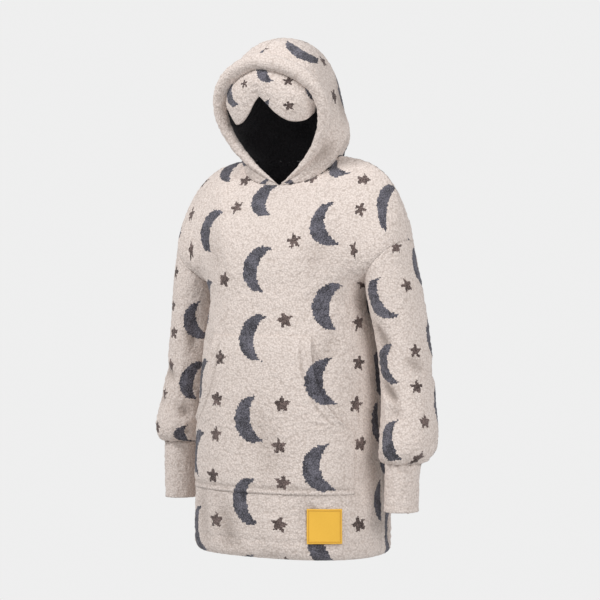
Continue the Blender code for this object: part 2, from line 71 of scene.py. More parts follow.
SHOULDER_X = [NECK_HALF_WIDTH, 0.148, 0.188, 0.228, 0.260, 0.280, 0.290]
SHOULDER_Z = [0.0, -0.005, -0.016, -0.040, -0.080, -0.132, -0.190]
print("hem at", TORSO_Z[0], "m, underarm at", UNDERARM_Z, "m")


# %% [markdown]
# ## From sections to surfaces
# `through` draws a smooth curve through table rows. On it stand the surfaces: the body below the
# arms is a rounded rectangle swept up the sections, and the yoke blends from that shape to the neck
# and the armholes. They work on whole rows of points at once, which keeps a fine mesh quick to make.

# %% Smooth curves
def through(at, knots, values):
    knots = np.asarray(knots, float)
    values = np.asarray(values, float)
    slopes = np.gradient(values, knots)
    row = np.clip(np.searchsorted(knots, at) - 1, 0, len(knots) - 2)
    span = knots[row + 1] - knots[row]
    s = np.clip((at - knots[row]) / span, 0.0, 1.0)
    rise = (values[row] * (1 + 2 * s) + slopes[row] * span * s) * (1 - s) ** 2
    return rise + (values[row + 1] * (3 - 2 * s) - slopes[row + 1] * span * (1 - s)) * s**2


def smooth_step(x):
    x = np.clip(x, 0.0, 1.0)
    return x * x * (3 - 2 * x)


# %% The body below the arms
ARC_SAMPLES = 721


def round_the_torso(share, z, side):
    """Points at shares of the way from the middle of the front or back to the side seam."""
    width = through(z, TORSO_Z, TORSO_HALF_WIDTH)
    depth = through(z, TORSO_Z, TORSO_FRONT if side < 0 else TORSO_BACK)
    angle = np.linspace(0, math.pi / 2, ARC_SAMPLES)
    x = width * np.sin(angle) ** (2 / SQUARENESS)
    y = depth * np.cos(angle) ** (2 / SQUARENESS)
    length = np.concatenate([[0], np.cumsum(np.hypot(np.diff(x), np.diff(y)))])
    at = np.abs(share) * length[-1]
    return np.interp(at, length, x), side * np.interp(at, length, y), length[-1]


print("chest half width:", round(float(round_the_torso(1.0, -0.32, -1)[0]), 3))

# %% [markdown]
# The yoke's upper edge follows the neckline and then the top of the shoulder. Below it the cloth
# first leans outwards and then arches over the shoulder, and near the armhole it bends into the
# ring that the sleeve starts from. The back is rounder than the front.

# %% The yoke
NECK_POINT_SPREAD = 0.07
NECK_POINT_WIDTH = 0.12
ARCH_START = 0.5 * NECK_SHARE
ARCH_SPAN = 0.65
BACK_ARCH_LEAST = 0.45
BACK_ARCH_SPAN = 0.75
ARMHOLE_SHARE = 0.5
LEAN_POWER = 2.2


def top_edge(share, side):
    turn = np.clip(share / NECK_SHARE, 0, 1) * math.pi / 2
    far, high = NECK_FRONT if side < 0 else NECK_BACK
    neck_x = NECK_HALF_WIDTH * np.sin(turn) ** NECK_SQUARENESS
    drop = np.abs(np.cos(turn)) ** NECK_SQUARENESS
    along = np.clip((share - NECK_SHARE) / (1 - NECK_SHARE), 0, 1)
    steps = np.hypot(np.diff(SHOULDER_X), np.diff(SHOULDER_Z))
    knots = np.concatenate([[0], np.cumsum(steps)]) / np.sum(steps)
    on_neck = share <= NECK_SHARE
    x = np.where(on_neck, neck_x, through(along, knots, SHOULDER_X))
    z = np.where(on_neck, high * drop, through(along, knots, SHOULDER_Z))
    return x, np.where(on_neck, far * drop, 0.0), z


def yoke(share, rise, side):
    low_x, low_y, _ = round_the_torso(share, UNDERARM_Z, side)
    top_x, top_y, top_z = top_edge(share, side)
    over = smooth_step((share - ARCH_START) / ARCH_SPAN)
    if side > 0:
        over = BACK_ARCH_LEAST + (1 - BACK_ARCH_LEAST) * smooth_step(share / BACK_ARCH_SPAN)
    ring = smooth_step((share - ARMHOLE_SHARE) / (1 - ARMHOLE_SHARE))
    lean = (1 - rise**LEAN_POWER, rise)
    arch = (math.cos(rise * math.pi / 2), math.sin(rise * math.pi / 2))
    hoop = ((1 + math.cos(rise * math.pi)) / 2, (1 - math.cos(rise * math.pi)) / 2)
    near = [(1 - over) * lean[k] + over * arch[k] for k in (0, 1)]
    left, gone = [(1 - ring) * near[k] + ring * hoop[k] for k in (0, 1)]
    x = low_x + (top_x - low_x) * ((1 - ring) * rise + ring * hoop[1])
    beside_neck = np.exp(-(((share - NECK_SHARE) / NECK_POINT_WIDTH) ** 2))
    x += NECK_POINT_SPREAD * beside_neck * (1 - rise) ** 0.6 * rise**1.5
    y = top_y + (low_y - top_y) * left + side * ARMHOLE_DEPTH * math.sin(rise * math.pi) * ring
    return x, y, UNDERARM_Z + (top_z - UNDERARM_Z) * gone


print("half width across the shoulders:", SHOULDER_X[-1])


# %% [markdown]
# ## The body as fine rows of points
# One panel is a grid: its columns run from side seam to side seam, its rows from hem to shoulder.
# Each point also gets its place on the flat cloth in metres, (across, up). That place is measured
# along the surface itself, from the middle column outwards and from the first row upwards, so the
# knitted pattern keeps its size where the body narrows or bends.

# %% Rows of the front and back
BODY_COLUMNS = 95
LOWER_ROWS = 170
YOKE_ROWS = 68


def stacked(x, y, z):
    return np.stack(np.broadcast_arrays(x, y, z), axis=-1).astype(float)


def flat_places(points, middle, hand):
    """Distances along the rows from one column, and along the columns from the first row."""
    steps = np.linalg.norm(np.diff(points, axis=1), axis=-1)
    across = np.concatenate([np.zeros((len(points), 1)), np.cumsum(steps, axis=1)], axis=1)
    across -= across[:, middle : middle + 1]
    steps = np.linalg.norm(np.diff(points, axis=0), axis=-1)
    up = np.concatenate([np.zeros((1, points.shape[1])), np.cumsum(steps, axis=0)], axis=0)
    return np.stack([hand * across, up], axis=-1)


def body_grid(side):
    share = np.linspace(-1, 1, 2 * BODY_COLUMNS + 1)
    hand = np.sign(share)
    rows = []
    for z in np.linspace(TORSO_Z[0], UNDERARM_Z, LOWER_ROWS + 1):
        x, y, _ = round_the_torso(np.abs(share), z, side)
        rows.append(stacked(x * hand, y, z))
    for step in range(1, YOKE_ROWS + 1):
        x, y, z = yoke(np.abs(share), step / YOKE_ROWS, side)
        rows.append(stacked(x * hand, y, z))
    points = np.array(rows)
    return points, flat_places(points, BODY_COLUMNS, -side)


front_points, front_flat = body_grid(-1)
back_points, back_flat = body_grid(1)
print("points on the front:", front_points.shape[:2])


# %% [markdown]
# ## Sleeves and cuffs as rings
# A sleeve is a stack of rings from the armhole to the wrist. Each ring starts and ends under the
# arm, where a real sleeve has its seam. Near the wrist the knit is gathered into the narrower cuff,
# so the last rings carry small waves that die out at the seam. A place on a sleeve's flat cloth is
# its distance round the arm and its height, so that the upright arm keeps the motifs upright.

# %% Sections of the arms
SLEEVE_Z = [-0.2375, -0.300, -0.370, -0.440, -0.510, -0.570, -0.615, -0.645, -0.664, -0.672]
SLEEVE_X = [0.2430, 0.2525, 0.2620, 0.2710, 0.2800, 0.2870, 0.2905, 0.2920, 0.2920, 0.2915]
SLEEVE_HALF_WIDTH = [0.0470, 0.0515, 0.0525, 0.0530, 0.0535, 0.0560, 0.0585, 0.0570, 0.0480, 0.0375]
SLEEVE_RISE = [0.0475, 0.032, 0.014, 0.004, 0.0, 0.0, 0.0, 0.0, 0.0, 0.0]
SLEEVE_HALF_DEPTH = [ARMHOLE_DEPTH, 0.074, 0.071, 0.068, 0.067, 0.068, 0.070, 0.067, 0.056, 0.0425]
SLEEVE_FORWARD = [0.0, 0.003, 0.007, 0.008, 0.006, 0.0, -0.006, -0.010, -0.012, -0.013]
LEFT_ARM_FORWARD = 0.015
LEFT_ARM_OUT = 0.009
RIGHT_SLEEVE_LIFT = 0.026
CUFF_END_Z = -0.775
CUFF_HALF_WIDTH = 0.0360
CUFF_HALF_DEPTH = 0.0410
CUFF_FORWARD = -0.017
print("wrist seam at", SLEEVE_Z[-1], "m, cuff ends at", CUFF_END_Z, "m")

# %% Rings of the sleeves
RING_POINTS = 120
SLEEVE_RINGS = 132
GATHER_WAVES = 9
GATHER_SLOW_WAVES = 5
GATHER_SLOW_SHARE = 0.6
GATHER_HEIGHT = 0.0035
GATHER_START = 0.72
GATHER_RISE = 0.2
GATHER_END = 0.03
ELBOW_OUT_RISE = 0.35
ELBOW_OUT_FALL = 0.3


def sleeve_grid(hand):
    turn = np.linspace(-math.pi, math.pi, RING_POINTS + 1)
    knots = np.linspace(0, 1, len(SLEEVE_Z))
    tables = (SLEEVE_X, SLEEVE_Z, SLEEVE_HALF_WIDTH, SLEEVE_RISE, SLEEVE_HALF_DEPTH, SLEEVE_FORWARD)
    rows = []
    for step in range(SLEEVE_RINGS + 1):
        at = np.array(step / SLEEVE_RINGS)
        centre_x, centre_z, wide, rise, deep, forward = (float(through(at, knots, t)) for t in tables)
        forward -= (LEFT_ARM_FORWARD if hand > 0 else 0.0) * float(smooth_step(at))
        elbow = float(smooth_step(at / ELBOW_OUT_RISE) * smooth_step((1 - at) / ELBOW_OUT_FALL))
        out = LEFT_ARM_OUT * elbow if hand > 0 else 0.0
        lift = RIGHT_SLEEVE_LIFT * float(smooth_step(at)) if hand < 0 else 0.0
        wave = np.sin(GATHER_WAVES * turn + 2 * hand)
        wave = wave + GATHER_SLOW_SHARE * np.sin(GATHER_SLOW_WAVES * turn + 1)
        rising, falling = (at - GATHER_START) / GATHER_RISE, (1 - at) / GATHER_END
        near_wrist = float(smooth_step(rising) * smooth_step(falling))
        wave = wave * GATHER_HEIGHT * near_wrist
        x = hand * (centre_x + out + (wide + out / 3 + wave) * np.cos(turn))
        y = forward - (deep + wave) * np.sin(turn)
        rows.append(stacked(x, y, centre_z + lift + rise * np.cos(turn)))
    points = np.array(rows)
    level = points * (1, 1, 0)
    flat = flat_places(level, RING_POINTS // 2, -hand)
    flat[..., 1] = points[..., 2]
    return points, flat


print("sleeve rings:", SLEEVE_RINGS)

# %% Rings of the cuffs
CUFF_RINGS = 32
CUFF_EASE = 0.3
CUFF_DRIFT = 0.003


def cuff_grid(hand):
    turn = np.linspace(-math.pi, math.pi, RING_POINTS + 1)
    top = SLEEVE_Z[-1] + (RIGHT_SLEEVE_LIFT if hand < 0 else 0.0)
    ahead = LEFT_ARM_FORWARD if hand > 0 else 0.0
    rows = []
    for step in range(CUFF_RINGS + 1):
        at = step / CUFF_RINGS
        ease = float(smooth_step(at / CUFF_EASE))
        wide = SLEEVE_HALF_WIDTH[-1] + (CUFF_HALF_WIDTH - SLEEVE_HALF_WIDTH[-1]) * ease
        deep = SLEEVE_HALF_DEPTH[-1] + (CUFF_HALF_DEPTH - SLEEVE_HALF_DEPTH[-1]) * ease
        forward = SLEEVE_FORWARD[-1] + (CUFF_FORWARD - SLEEVE_FORWARD[-1]) * ease - ahead
        x = hand * (SLEEVE_X[-1] - CUFF_DRIFT * at + wide * np.cos(turn))
        z = top + (CUFF_END_Z - top) * at
        rows.append(stacked(x, forward - deep * np.sin(turn), z))
    points = np.array(rows)
    return points, flat_places(points, RING_POINTS // 2, -hand)


print("cuff rings:", CUFF_RINGS)


# %% [markdown]
# ## The hood
# Each half of the hood is a patch of arches. An arch starts on the neckline and rises over the head
# to the seam on the crown, as a Bezier curve with four control points: foot, side, top and seam.
# The first arch is the edge of the face opening and the last lies along the back of the neck.

# %% Sections of the hood
HOOD_AT = [0.0, 0.22, 0.45, 0.72, 0.88, 1.0]
HOOD_SIDE_X = [0.165, 0.173, 0.170, 0.164, 0.152, NECK_HALF_WIDTH]
HOOD_SIDE_Y = [-0.055, -0.050, -0.045, -0.030, -0.004, 0.040]
HOOD_SIDE_Z = [0.026, 0.033, 0.046, 0.062, 0.072, 0.050]
HOOD_TOP_X = [0.185, 0.142, 0.114, 0.108, 0.110, 0.070]
HOOD_TOP_Y = [-0.120, -0.085, 0.030, 0.122, 0.115, NECK_BACK[0]]
HOOD_BROW_DROP = 0.022
HOOD_SEAM_Y = [-0.152, -0.085, 0.035, 0.116, 0.108, NECK_BACK[0]]
HOOD_SEAM_Z = [0.200, 0.255, 0.256, 0.150, 0.070, NECK_BACK[1]]
HOOD_MIDDLE = Vector((0.0, -0.02, 0.11))
print("depth of the hood:", round(max(HOOD_SEAM_Y) - min(HOOD_SEAM_Y), 3), "m")

# %% The hood's surface
BROW_SHARE = 0.3
NECK_BLEND = 0.08


def front_neck(share):
    x, y, z = top_edge(np.array(share * NECK_SHARE), -1)
    return Vector((float(x), float(y), float(z)))


def back_neck(share):
    x, y, z = top_edge(np.array((1 - share) * NECK_SHARE), 1)
    return Vector((float(x), float(y), float(z)))


def hood_arch(round_at):
    at = np.array(float(round_at))
    side = [float(through(at, HOOD_AT, t)) for t in (HOOD_SIDE_X, HOOD_SIDE_Y, HOOD_SIDE_Z)]
    seam_y, seam_z, top_x, top_y = (
        float(through(at, HOOD_AT, t)) for t in (HOOD_SEAM_Y, HOOD_SEAM_Z, HOOD_TOP_X, HOOD_TOP_Y)
    )
    top_z = seam_z - HOOD_BROW_DROP * float(1 - smooth_step(round_at / BROW_SHARE))
    foot = front_neck(float(round_at))
    return foot, Vector(side), Vector((top_x, top_y, top_z)), Vector((0, seam_y, seam_z))


def hood_point(round_at, t):
    foot, side, top, seam = hood_arch(round_at)
    low = foot * (1 - t) ** 3 + side * (3 * t * (1 - t) ** 2)
    curve = low + top * (3 * t * t * (1 - t)) + seam * t**3
    last = float(smooth_step((round_at - (1 - NECK_BLEND)) / NECK_BLEND))
    return curve.lerp(back_neck(t) + (foot - back_neck(0)) * (1 - t) ** 3, last)


crown = max(hood_point(u / 20, 1.0).z for u in range(21))
print("crown of the hood at", round(crown, 3), "m")

# %% [markdown]
# The hood's front edge is rolled outward into a soft tube. The panel stops inside that tube, so it
# starts a little way round from the edge curve: far enough that only its very end is hidden. A hood
# half is nearly a quarter of a ball, so its flat places come from unrolling it round its side.

# %% Rows of the hood
ROLL_AT = [0.0, 0.08, 0.2, 0.4, 0.7, 1.0]
ROLL_RADIUS = [0.0, 0.0045, 0.0095, 0.0135, 0.0165, 0.0180]
HOOD_STEPS = 100
START_STEP = 0.002
START_LIMIT = 0.2
HIDDEN_IN_ROLL = 0.72


def roll_radius(up):
    return float(through(np.array(float(up)), ROLL_AT, ROLL_RADIUS))


def hood_start(up):
    edge = hood_point(0, up)
    reach = HIDDEN_IN_ROLL * roll_radius(up)
    start = 0.0
    while start < START_LIMIT and (hood_point(start, up) - edge).length < reach:
        start += START_STEP
    return start


def off_the_ball(points, hand):
    """Distances over the hood from the middle of its side, towards the back and upwards."""
    arm = points - np.array(HOOD_MIDDLE)
    reach = np.linalg.norm(arm, axis=-1)
    angle = np.arccos(np.clip(np.abs(arm[..., 0]) / reach, 0, 1))
    sideways = np.maximum(np.hypot(arm[..., 1], arm[..., 2]), 1e-6)
    return np.stack([hand * arm[..., 1], arm[..., 2]], axis=-1) * (angle * reach / sideways)[..., None]


def hood_grid(hand):
    rows = []
    for j in range(HOOD_STEPS + 1):
        up = j / HOOD_STEPS
        start = hood_start(up)
        row = [hood_point(start + (1 - start) * i / HOOD_STEPS, up) for i in range(HOOD_STEPS + 1)]
        rows.append([(hand * p.x if up < 1 else 0.0, p.y, p.z) for p in row])
    points = np.array(rows, float)
    return points, off_the_ball(points, hand)


print("rows in one hood half:", HOOD_STEPS + 1)


# %% [markdown]
# ## Creases
# Cloth that hangs from shoulders and bends at elbows never stays smooth. Each row of this table is
# one soft crease: a line in space from a start to an end, how wide it spreads and how deep it is.
# Every cloth point near a line moves along its own normal, in for a trough and out for a ridge, so
# the same table works on the body, the sleeves and the hood.

# %% Table of creases
CREASES = [
    # start x, y, z,   end x, y, z,   half width, depth (minus is a ridge)
    # front of the body: under the arms, and down to the hem
    ((0.215, -0.10, -0.330), (0.150, -0.150, -0.470), 0.024, 0.0080),
    ((0.200, -0.12, -0.270), (0.120, -0.150, -0.330), 0.022, 0.0055),
    ((-0.215, -0.10, -0.320), (-0.150, -0.150, -0.420), 0.022, 0.0070),
    ((-0.200, -0.12, -0.260), (-0.130, -0.150, -0.310), 0.020, 0.0050),
    ((0.175, -0.13, -0.170), (0.120, -0.150, -0.260), 0.030, 0.0045),
    ((-0.175, -0.13, -0.170), (-0.120, -0.150, -0.250), 0.030, 0.0040),
    ((0.170, -0.15, -0.860), (0.130, -0.165, -0.760), 0.026, 0.0060),
    ((-0.060, -0.17, -0.870), (-0.085, -0.17, -0.770), 0.028, 0.0055),
    ((0.060, -0.17, -0.870), (0.045, -0.17, -0.780), 0.030, -0.0045),
    ((-0.150, -0.16, -0.870), (-0.165, -0.15, -0.740), 0.024, 0.0055),
    ((0.000, -0.17, -0.560), (0.060, -0.17, -0.700), 0.040, 0.0030),
    # sides and back of the body
    ((0.215, 0.06, -0.870), (0.215, 0.02, -0.640), 0.024, 0.0065),
    ((-0.215, 0.06, -0.870), (-0.215, 0.03, -0.660), 0.024, 0.0065),
    ((0.110, 0.16, -0.870), (0.095, 0.15, -0.600), 0.034, 0.0070),
    ((-0.120, 0.16, -0.860), (-0.100, 0.15, -0.560), 0.034, 0.0070),
    ((0.000, 0.15, -0.600), (0.050, 0.145, -0.440), 0.034, 0.0055),
    ((-0.160, 0.12, -0.300), (-0.060, 0.140, -0.400), 0.026, 0.0060),
    ((0.160, 0.12, -0.300), (0.060, 0.140, -0.380), 0.026, 0.0065),
    # left sleeve, front and outside
    ((0.239, -0.049, -0.379), (0.268, -0.065, -0.424), 0.015, 0.0085),
    ((0.254, -0.058, -0.500), (0.295, -0.072, -0.536), 0.012, 0.0100),
    ((0.262, -0.062, -0.527), (0.338, -0.039, -0.581), 0.013, -0.0055),
    ((0.290, -0.072, -0.556), (0.348, -0.010, -0.628), 0.014, 0.0105),
    ((0.320, -0.055, -0.450), (0.345, -0.020, -0.470), 0.014, 0.0060),
    ((0.262, -0.070, -0.656), (0.345, -0.020, -0.650), 0.010, 0.0045),
    ((0.270, -0.082, -0.632), (0.350, -0.020, -0.636), 0.013, -0.0040),
    # right sleeve, front and outside
    ((-0.238, -0.045, -0.345), (-0.232, -0.050, -0.432), 0.016, 0.0080),
    ((-0.325, -0.045, -0.548), (-0.245, -0.055, -0.580), 0.012, 0.0090),
    ((-0.325, -0.045, -0.600), (-0.245, -0.060, -0.604), 0.012, -0.0050),
    ((-0.325, -0.045, -0.630), (-0.245, -0.055, -0.618), 0.010, 0.0070),
    ((-0.330, -0.030, -0.470), (-0.280, -0.070, -0.500), 0.015, 0.0060),
    # both sleeves, back
    ((0.300, 0.07, -0.450), (0.340, 0.03, -0.480), 0.015, 0.0080),
    ((-0.300, 0.07, -0.450), (-0.340, 0.03, -0.480), 0.015, 0.0080),
    ((0.285, 0.075, -0.560), (0.335, 0.04, -0.545), 0.015, 0.0075),
    ((-0.285, 0.075, -0.550), (-0.335, 0.04, -0.535), 0.015, 0.0075),
    # hood: where it rises from the shoulders, and folds at its back
    ((0.125, 0.02, 0.030), (0.105, 0.085, 0.030), 0.030, -0.0080),
    ((-0.125, 0.02, 0.030), (-0.105, 0.085, 0.030), 0.030, -0.0080),
    ((0.130, 0.00, 0.130), (0.110, 0.090, 0.120), 0.045, 0.0065),
    ((-0.130, 0.00, 0.130), (-0.110, 0.090, 0.120), 0.045, 0.0065),
    ((0.130, -0.03, 0.020), (0.085, -0.070, -0.020), 0.016, 0.0060),
    ((-0.130, -0.03, 0.020), (-0.085, -0.070, -0.020), 0.016, 0.0060),
    ((0.060, 0.110, 0.060), (-0.060, 0.110, 0.060), 0.022, 0.0070),
    ((0.030, 0.120, 0.110), (-0.080, 0.110, 0.130), 0.022, 0.0060),
]
print("creases:", len(CREASES))


# %% How deep a point lies in the creases
CREASE_STRENGTH = 1.3
END_DEPTH = 0.35


def crease_depth(points):
    total = np.zeros(points.shape[:-1])
    for start, end, width, depth in CREASES:
        a, b = np.array(start), np.array(end)
        along = np.clip(((points - a) @ (b - a)) / ((b - a) @ (b - a)), 0, 1)
        distance = np.linalg.norm(points - (a + along[..., None] * (b - a)), axis=-1)
        strength = END_DEPTH + (1 - END_DEPTH) * np.sin(math.pi * along) ** 0.5
        total += depth * np.exp(-((distance / width) ** 2)) * strength
    return total * CREASE_STRENGTH


print("deepest crease:", CREASE_STRENGTH * max(row[3] for row in CREASES), "m")

# %% [markdown]
# ## From a grid of points to fleecy cloth
# `cloth_piece` starts from Blender's own grid primitive and moves its vertices onto the surface.
# The pile of the yarn shows even in the outline, so each vertex also gets a small random push from
# a noise field, fixed by its place and so the same in every run and on both sides of a seam. The
# creases die out near the seams, where two layers hold the cloth. Solidify then gives the wall its
# thickness, inwards. Each vertex also remembers how deep it lies in a crease, in the attribute
# "fold": long pile hides the light there, so the material paints shade into the yarn's colour by it.

# %% Pile, hem and seams
PILE_HEIGHT = 0.0020
PILE_SIZE = 0.0078
FINE_PILE = 2.1
FINE_PILE_SHARE = 0.5
SEAM_REACH = 8.0
HEM_SEAM_Z = -0.840
HEM_SEAM = 0.0014
HEM_SEAM_WIDTH = 0.0045
HEM_CURL = 0.009
HEM_CURL_HEIGHT = 0.022
HEM_CURL_POWER = 2.5


def grid_normals(points):
    across = np.gradient(points, axis=1)
    up = np.gradient(points, axis=0)
    normal = np.cross(across, up)
    return normal / np.maximum(np.linalg.norm(normal, axis=-1, keepdims=True), 1e-9)


def pile(points):
    push = np.zeros(points.shape[:-1])
    for index in np.ndindex(push.shape):
        p = Vector(points[index]) / PILE_SIZE
        push[index] = noise.noise(p) + FINE_PILE_SHARE * noise.noise(p * FINE_PILE)
    return push * PILE_HEIGHT


def hem(points):
    """How far the hem draws in: a shallow line of stitches, and a soft curl at the very edge."""
    z = points[..., 2]
    curl = np.clip(1 - (z - TORSO_Z[0]) / HEM_CURL_HEIGHT, 0, 1)
    stitches = HEM_SEAM * np.exp(-(((z - HEM_SEAM_Z) / HEM_SEAM_WIDTH) ** 2))
    return stitches + HEM_CURL * curl**HEM_CURL_POWER


def edge_fade(shape, closed):
    rows = np.minimum(np.arange(shape[0]), np.arange(shape[0])[::-1])[:, None]
    columns = np.minimum(np.arange(shape[1]), np.arange(shape[1])[::-1])[None, :]
    nearest = np.broadcast_to(rows, shape) if closed else np.minimum(rows, columns)
    return smooth_step(nearest / SEAM_REACH)


print("pile", PILE_HEIGHT * 1000, "mm high, tufts", PILE_SIZE * 1000, "mm apart")

# %% From grid to mesh
FULL_FOLD = 0.010
JOIN_DISTANCE = 1e-6


def grid_mesh(name, points, flat, closed=False, sunk_and_shade=None):
    rows, columns = points.shape[:2]
    bm = bmesh.new()
    bmesh.ops.create_grid(bm, x_segments=columns - 1, y_segments=rows - 1, size=0.5)
    uv = bm.loops.layers.uv.new("cloth")
    # the fold attribute holds crease depth, which the material turns into painted shade
    fold = bm.verts.layers.float.new("fold")
    places = {}
    for v in bm.verts:
        places[v] = (round((v.co.y + 0.5) * (rows - 1)), round((v.co.x + 0.5) * (columns - 1)))
    for face in bm.faces:
        face.smooth = True
        for loop in face.loops:
            loop[uv].uv = flat[places[loop.vert]]
    for v, place in places.items():
        v.co = points[place]
        v[fold] = 0.0 if sunk_and_shade is None else sunk_and_shade[place] / FULL_FOLD
    if closed:
        bmesh.ops.remove_doubles(bm, verts=bm.verts[:], dist=JOIN_DISTANCE)
    mesh = bpy.data.meshes.new(name)
    bm.to_mesh(mesh)
    bm.free()
    obj = bpy.data.objects.new(name, mesh)
    bpy.context.scene.collection.objects.link(obj)
    return obj


def add_wall(obj, wall, inside=1, rim=0):
    solidify = obj.modifiers.new("wall", "SOLIDIFY")
    solidify.thickness = wall
    solidify.offset = -1.0
    solidify.use_rim = True
    solidify.material_offset = inside
    solidify.material_offset_rim = rim


def cloth_area(obj):
    bm = bmesh.new()
    bm.from_mesh(obj.data)
    area = sum(face.calc_area() for face in bm.faces)
    bm.free()
    return area


print("a fold of", FULL_FOLD, "m counts as full")

# %% Make a cloth piece
CLOTH_WALL = 0.004


def stand_for(obj, node):
    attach(obj, "root")
    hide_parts(node)


def cloth_piece(name, grid, node, closed=False, outward=1, wall=CLOTH_WALL, rim=0):
    points, flat = grid
    normal = grid_normals(points) * outward
    fade = edge_fade(points.shape[:2], closed)
    sunk_and_shade = crease_depth(points) * fade
    push = pile(points) - sunk_and_shade - hem(points)
    obj = grid_mesh(name, points + normal * push[..., None], flat, closed, sunk_and_shade)
    if outward < 0:
        obj.data.flip_normals()
    add_wall(obj, wall, rim=rim)
    stand_for(obj, node)
    area = cloth_area(obj)
    return obj


print("cloth wall:", CLOTH_WALL, "m")


# %% [markdown]
# ## The eight big panels
# The body's two panels carry the rest. The grid's normal direction depends on which way its rows
# and columns run, so the pieces on the other side or the other hand are told to face outwards.

# %% Body, sleeves, cuffs and hood
CUFF_WALL = 0.006

front = cloth_piece("front_cloth", (front_points, front_flat), "front_panel")
back_grid = (back_points, back_flat)
back = cloth_piece("back_cloth", back_grid, "back_panel", outward=-1, rim=1)
sleeves, cuffs, hoods = [], [], []
for hand, word in ((1, "left"), (-1, "right")):
    node = f"sleeve_{word}"
    grid = sleeve_grid(hand)
    sleeves.append(cloth_piece(node + "_cloth", grid, node, closed=True, outward=hand))
    node = f"cuff_{word}"
    grid = cuff_grid(hand)
    cuffs.append(
        cloth_piece(
            node + "_cloth", grid, node, closed=True, outward=hand, wall=CUFF_WALL
        )
    )
    node = f"hood_{word}"
    grid = hood_grid(hand)
    hoods.append(cloth_piece(node + "_cloth", grid, node, outward=hand, rim=1))
print("panels:", 2 + len(sleeves) + len(cuffs) + len(hoods))


# %% [markdown]
# ## The rolled edge of the hood
# The opening's edge is turned over and sewn into a fat soft roll. It is a tube along the edge curve,
# thin where it starts at the throat and full over the brow. It is stuffed with its own layers, and the
# tube is closed at both ends.

# %% Points of the roll
ROLL_START = 0.014
ROLL_STEPS = 160
ROLL_SIDES = 24
ROLL_FLAT_ROUND = 0.016
ROLL_FLAT_LENGTH = 0.40


def roll_line(up):
    hand, t = (-1, up) if up <= 1 else (1, 2 - up)
    p = hood_point(0, t)
    return Vector((hand * p.x, p.y, p.z))


def roll_grid():
    ups = np.linspace(ROLL_START, 2 - ROLL_START, ROLL_STEPS + 1)
    centres = [roll_line(up) for up in ups]
    rows, flat = [], []
    for k, (up, centre) in enumerate(zip(ups, centres)):
        ahead = (centres[min(k + 1, ROLL_STEPS)] - centres[max(k - 1, 0)]).normalized()
        out = (centre - HOOD_MIDDLE).cross(ahead).cross(ahead).normalized()
        side = ahead.cross(out)
        radius = roll_radius(min(up, 2 - up))
        angles = np.linspace(0, 2 * math.pi, ROLL_SIDES + 1)
        rows.append([tuple(centre + (out * math.cos(a) + side * math.sin(a)) * radius) for a in angles])
        flat.append([(a * ROLL_FLAT_ROUND, up * ROLL_FLAT_LENGTH) for a in angles])
    return np.array(rows, float), np.array(flat, float)


print("rings of the roll:", ROLL_STEPS + 1)


# %% The roll
def close_ends(obj):
    bm = bmesh.new()
    bm.from_mesh(obj.data)
    bmesh.ops.holes_fill(bm, edges=[e for e in bm.edges if e.is_boundary], sides=0)
    bmesh.ops.recalc_face_normals(bm, faces=bm.faces[:])
    for face in bm.faces:
        face.smooth = True
    bm.to_mesh(obj.data)
    bm.free()


points, flat = roll_grid()
normal = grid_normals(points)
middle = points.mean(axis=1, keepdims=True)
normal *= np.sign(np.sum(normal * (points - middle), axis=-1, keepdims=True))
points = points + normal * pile(points)[..., None]
points[:, -1] = points[:, 0]
roll = grid_mesh("hood_roll_cloth", points, flat, closed=True)
close_ends(roll)
stand_for(roll, "hood_roll")
print("roll faces", len(roll.data.polygons))

# %% [markdown]
# ## The eye mask
# Inside the brow hangs a padded flap with two lobes and a notch for the nose. Its top edge follows
# the roll and its lower edge is the curve in the table. The front is pushed forward a little in the
# middle, and the front and back close round a soft edge.

# %% Points of the mask
MASK_AT = [0.0, 0.14, 0.34, 0.58, 0.80, 1.0]
MASK_EDGE_X = [0.0, 0.014, 0.036, 0.064, 0.090, 0.1045]
MASK_EDGE_Y = [-0.146, -0.144, -0.136, -0.121, -0.100, -0.082]
MASK_EDGE_Z = [0.124, 0.110, 0.086, 0.069, 0.072, 0.090]
MASK_SIDE_AT = 0.56
MASK_BULGE = 0.012
MASK_TUCK = 0.75
MASK_ROWS = 31
MASK_COLUMNS = 81


def mask_grid():
    rows, flat = [], []
    for down in np.linspace(0, 1, MASK_ROWS):
        row, places = [], []
        for across in np.linspace(-1, 1, MASK_COLUMNS):
            t = 1 - (1 - MASK_SIDE_AT) * abs(across)
            centre = roll_line(t if across < 0 else 2 - t)
            inward = (Vector((0, centre.y, HOOD_MIDDLE.z)) - centre).normalized()
            top = centre + inward * roll_radius(t) * MASK_TUCK
            out = np.array(abs(across))
            edge = [float(through(out, MASK_AT, t)) for t in (MASK_EDGE_X, MASK_EDGE_Y, MASK_EDGE_Z)]
            low = Vector((math.copysign(edge[0], across), edge[1], edge[2]))
            p = top.lerp(low, down)
            p.y -= MASK_BULGE * math.sin(math.pi * down) * (1 - across**4)
            row.append(tuple(p))
            places.append((p.x, p.z))
        rows.append(row)
        flat.append(places)
    return np.array(rows, float), np.array(flat, float)


print("points on the mask:", (MASK_ROWS, MASK_COLUMNS))

# %% The mask
MASK_WALL = 0.007

points, flat = mask_grid()
normal = grid_normals(points)
normal *= -np.sign(normal[..., 1:2])
push = pile(points) * edge_fade(points.shape[:2], False)
mask = grid_mesh("eye_mask_cloth", points + normal * push[..., None], flat)
if mask.data.polygons[0].normal.y > 0:
    mask.data.flip_normals()
add_wall(mask, MASK_WALL, inside=0)
stand_for(mask, "eye_mask")
print("mask faces", len(mask.data.polygons))
